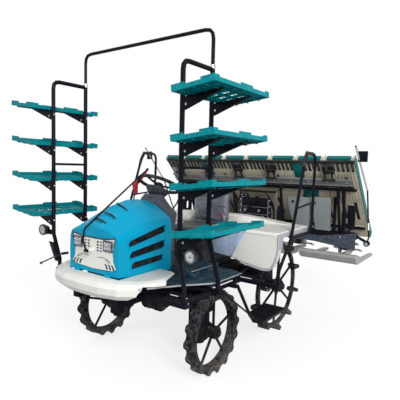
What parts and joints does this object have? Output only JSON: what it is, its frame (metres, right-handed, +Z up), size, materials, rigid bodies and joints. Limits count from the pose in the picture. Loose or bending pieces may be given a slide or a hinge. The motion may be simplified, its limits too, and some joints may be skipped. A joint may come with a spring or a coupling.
{
  "type": "rice transplanter",
  "caption": "Riding rice transplanter with lugged steered front wheels, paddled rear wheels, seedling racks and a raised planting unit on a parallel lift",
  "frame": {"origin": "on the ground, on the centre line, half way between the apron's front and the floats' tails", "axes": "+Z up, front of the machine toward -Y, +X to the machine's left-hand side"},
  "size_m": [2.74, 3.442, 2.5897],
  "materials": {
    "black_tube": "satin black, worn where hands and boots rub",
    "black_casting": "semi-matt black, dusty in the corners",
    "wheel_rubber": "matt black rubber with dried mud",
    "blue_bonnet": "glossy cyan blue",
    "cream_plastic": "satin cream",
    "floor_teal": "dark teal with a raised pattern",
    "grey_plastic": "mid grey, lightly grained",
    "tray_teal": "satin teal",
    "seat_grey": "smooth blue-grey vinyl",
    "stage_beige": "matt beige",
    "board_slate": "satin slate blue",
    "float_grey": "matt light grey",
    "steel_grey": "dull worked steel"
  },
  "bodies": {
    "chassis": {"main_frame": "black_tube", "front_axle": "black_casting", "transmission": "black_casting", "engine_block": "black_casting", "front_apron": "cream_plastic", "floor_plate": "floor_teal", "dash_column": "grey_plastic", "rear_cover": "cream_plastic", "rack_frame_left": "black_tube", "rack_frame_right": "black_tube", "roof_hoop": "black_tube", "shelf_left_1": "tray_teal", "shelf_left_2": "tray_teal", "shelf_left_3": "tray_teal", "shelf_left_4": "tray_teal", "shelf_right_1": "tray_teal", "shelf_right_2": "tray_teal", "shelf_right_3": "tray_teal", "shelf_right_4": "tray_teal"},
    "bonnet_lid": {"bonnet": "blue_bonnet", "grille_mask": "cream_plastic"},
    "mast": {"guide_mast": "black_tube"},
    "steering": {"steering_wheel": "black_casting"},
    "seat_pan": {"seat": "seat_grey"},
    "gear_case_left": {"front_gear_case_left": "black_casting"},
    "gear_case_right": {"front_gear_case_right": "black_casting"},
    "tie_bar": {"tie_rod": "black_tube"},
    "front_left": {"wheel_front_left": "wheel_rubber"},
    "front_right": {"wheel_front_right": "wheel_rubber"},
    "rear_left": {"wheel_rear_left": "wheel_rubber"},
    "rear_right": {"wheel_rear_right": "wheel_rubber"},
    "lower_arms": {"lower_links": "black_tube"},
    "upper_arm": {"top_link": "black_tube"},
    "hitch_plate": {"hitch": "black_casting"},
    "planting_unit": {"planting_frame": "black_casting", "levelling_board": "board_slate"},
    "stage": {"seedling_stage": "stage_beige"},
    "rotor_1": {"planting_rotor_1": "steel_grey"},
    "rotor_2": {"planting_rotor_2": "steel_grey"},
    "rotor_3": {"planting_rotor_3": "steel_grey"},
    "rotor_4": {"planting_rotor_4": "steel_grey"},
    "middle_float": {"float_centre": "float_grey"},
    "left_float": {"float_left": "float_grey"},
    "right_float": {"float_right": "float_grey"},
    "left_marker": {"marker_arm_left": "black_tube"},
    "right_marker": {"marker_arm_right": "black_tube"}
  },
  "joints": [
    {"name": "steer_left", "type": "hinge", "parent": "chassis", "child": "gear_case_left", "pos_m": [0.47, -0.9, 0.325], "axis": [0, 0, 1], "range_deg": [-40, 40]},
    {"name": "steer_right", "type": "hinge", "parent": "chassis", "child": "gear_case_right", "pos_m": [-0.47, -0.9, 0.325], "axis": [0, 0, 1], "range_deg": [-40, 40]},
    {"name": "tie_rod_eye", "type": "hinge", "parent": "gear_case_left", "child": "tie_bar", "pos_m": [0.47, -0.74, 0.455], "axis": [0, 0, 1], "range_deg": [-40, 40]},
    {"name": "steering_column", "type": "hinge", "parent": "chassis", "child": "steering", "pos_m": [0, -0.88, 1.46], "axis": [0, 0.4226, 0.9063], "range_deg": [-360, 360]},
    {"name": "front_left_spin", "type": "hinge", "parent": "gear_case_left", "child": "front_left", "pos_m": [0.61, -0.9, 0.325], "axis": [1, 0, 0], "continuous": true},
    {"name": "front_right_spin", "type": "hinge", "parent": "gear_case_right", "child": "front_right", "pos_m": [-0.61, -0.9, 0.325], "axis": [1, 0, 0], "continuous": true},
    {"name": "rear_left_spin", "type": "hinge", "parent": "chassis", "child": "rear_left", "pos_m": [0.61, 0.23, 0.45], "axis": [1, 0, 0], "continuous": true},
    {"name": "rear_right_spin", "type": "hinge", "parent": "chassis", "child": "rear_right", "pos_m": [-0.61, 0.23, 0.45], "axis": [1, 0, 0], "continuous": true},
    {"name": "bonnet_hinge", "type": "hinge", "parent": "chassis", "child": "bonnet_lid", "pos_m": [0, -1.635, 0.821], "axis": [1, 0, 0], "range_deg": [0, 60]},
    {"name": "mast_hinge", "type": "hinge", "parent": "bonnet_lid", "child": "mast", "pos_m": [0, -1.6513, 1], "axis": [1, 0, 0], "range_deg": [0, 50]},
    {"name": "seat_hinge", "type": "hinge", "parent": "chassis", "child": "seat_pan", "pos_m": [0, -0.53, 0.975], "axis": [1, 0, 0], "range_deg": [0, 50]},
    {"name": "lower_link_pivot", "type": "hinge", "parent": "chassis", "child": "lower_arms", "pos_m": [0, 0.36, 0.62], "axis": [1, 0, 0], "range_deg": [-55, 0]},
    {"name": "top_link_pivot", "type": "hinge", "parent": "chassis", "child": "upper_arm", "pos_m": [0, 0.36, 0.92], "axis": [1, 0, 0], "range_deg": [-55, 0]},
    {"name": "hitch_pivot", "type": "hinge", "parent": "lower_arms", "child": "hitch_plate", "pos_m": [0, 0.8, 0.92], "axis": [1, 0, 0], "range_deg": [0, 55]},
    {"name": "roll_pivot", "type": "hinge", "parent": "hitch_plate", "child": "planting_unit", "pos_m": [0, 0.9, 1], "axis": [0, 1, 0], "range_deg": [-3, 3]},
    {"name": "stage_slide", "type": "slide", "parent": "planting_unit", "child": "stage", "axis": [1, 0, 0], "range_m": [-0.13, 0.13]},
    {"name": "rotor_1_spin", "type": "hinge", "parent": "planting_unit", "child": "rotor_1", "pos_m": [-0.9, 1.52, 0.71], "axis": [1, 0, 0], "continuous": true},
    {"name": "rotor_2_spin", "type": "hinge", "parent": "planting_unit", "child": "rotor_2", "pos_m": [-0.3, 1.52, 0.71], "axis": [1, 0, 0], "continuous": true},
    {"name": "rotor_3_spin", "type": "hinge", "parent": "planting_unit", "child": "rotor_3", "pos_m": [0.3, 1.52, 0.71], "axis": [1, 0, 0], "continuous": true},
    {"name": "rotor_4_spin", "type": "hinge", "parent": "planting_unit", "child": "rotor_4", "pos_m": [0.9, 1.52, 0.71], "axis": [1, 0, 0], "continuous": true},
    {"name": "middle_float_pivot", "type": "hinge", "parent": "planting_unit", "child": "middle_float", "pos_m": [0, 1.29, 0.68], "axis": [1, 0, 0], "range_deg": [-6, 0]},
    {"name": "left_float_pivot", "type": "hinge", "parent": "planting_unit", "child": "left_float", "pos_m": [0.8375, 1.29, 0.68], "axis": [1, 0, 0], "range_deg": [-6, 0]},
    {"name": "right_float_pivot", "type": "hinge", "parent": "planting_unit", "child": "right_float", "pos_m": [-0.8375, 1.29, 0.68], "axis": [1, 0, 0], "range_deg": [-6, 0]},
    {"name": "left_marker_pivot", "type": "hinge", "parent": "planting_unit", "child": "left_marker", "pos_m": [1.265, 0.985, 0.855], "axis": [0, 1, 0], "range_deg": [0, 95]},
    {"name": "right_marker_pivot", "type": "hinge", "parent": "planting_unit", "child": "right_marker", "pos_m": [-1.265, 0.985, 0.855], "axis": [0, 1, 0], "range_deg": [-95, 0]}
  ],
  "couplings": [
    {"joint": "steer_right", "follows": "steer_left", "ratio": 1},
    {"joint": "tie_rod_eye", "follows": "steer_left", "ratio": -1},
    {"joint": "steering_column", "follows": "steer_left", "ratio": 9},
    {"joint": "top_link_pivot", "follows": "lower_link_pivot", "ratio": 1},
    {"joint": "hitch_pivot", "follows": "lower_link_pivot", "ratio": -1},
    {"joint": "rotor_2_spin", "follows": "rotor_1_spin", "ratio": 1},
    {"joint": "rotor_3_spin", "follows": "rotor_1_spin", "ratio": 1},
    {"joint": "rotor_4_spin", "follows": "rotor_1_spin", "ratio": 1}
  ]
}
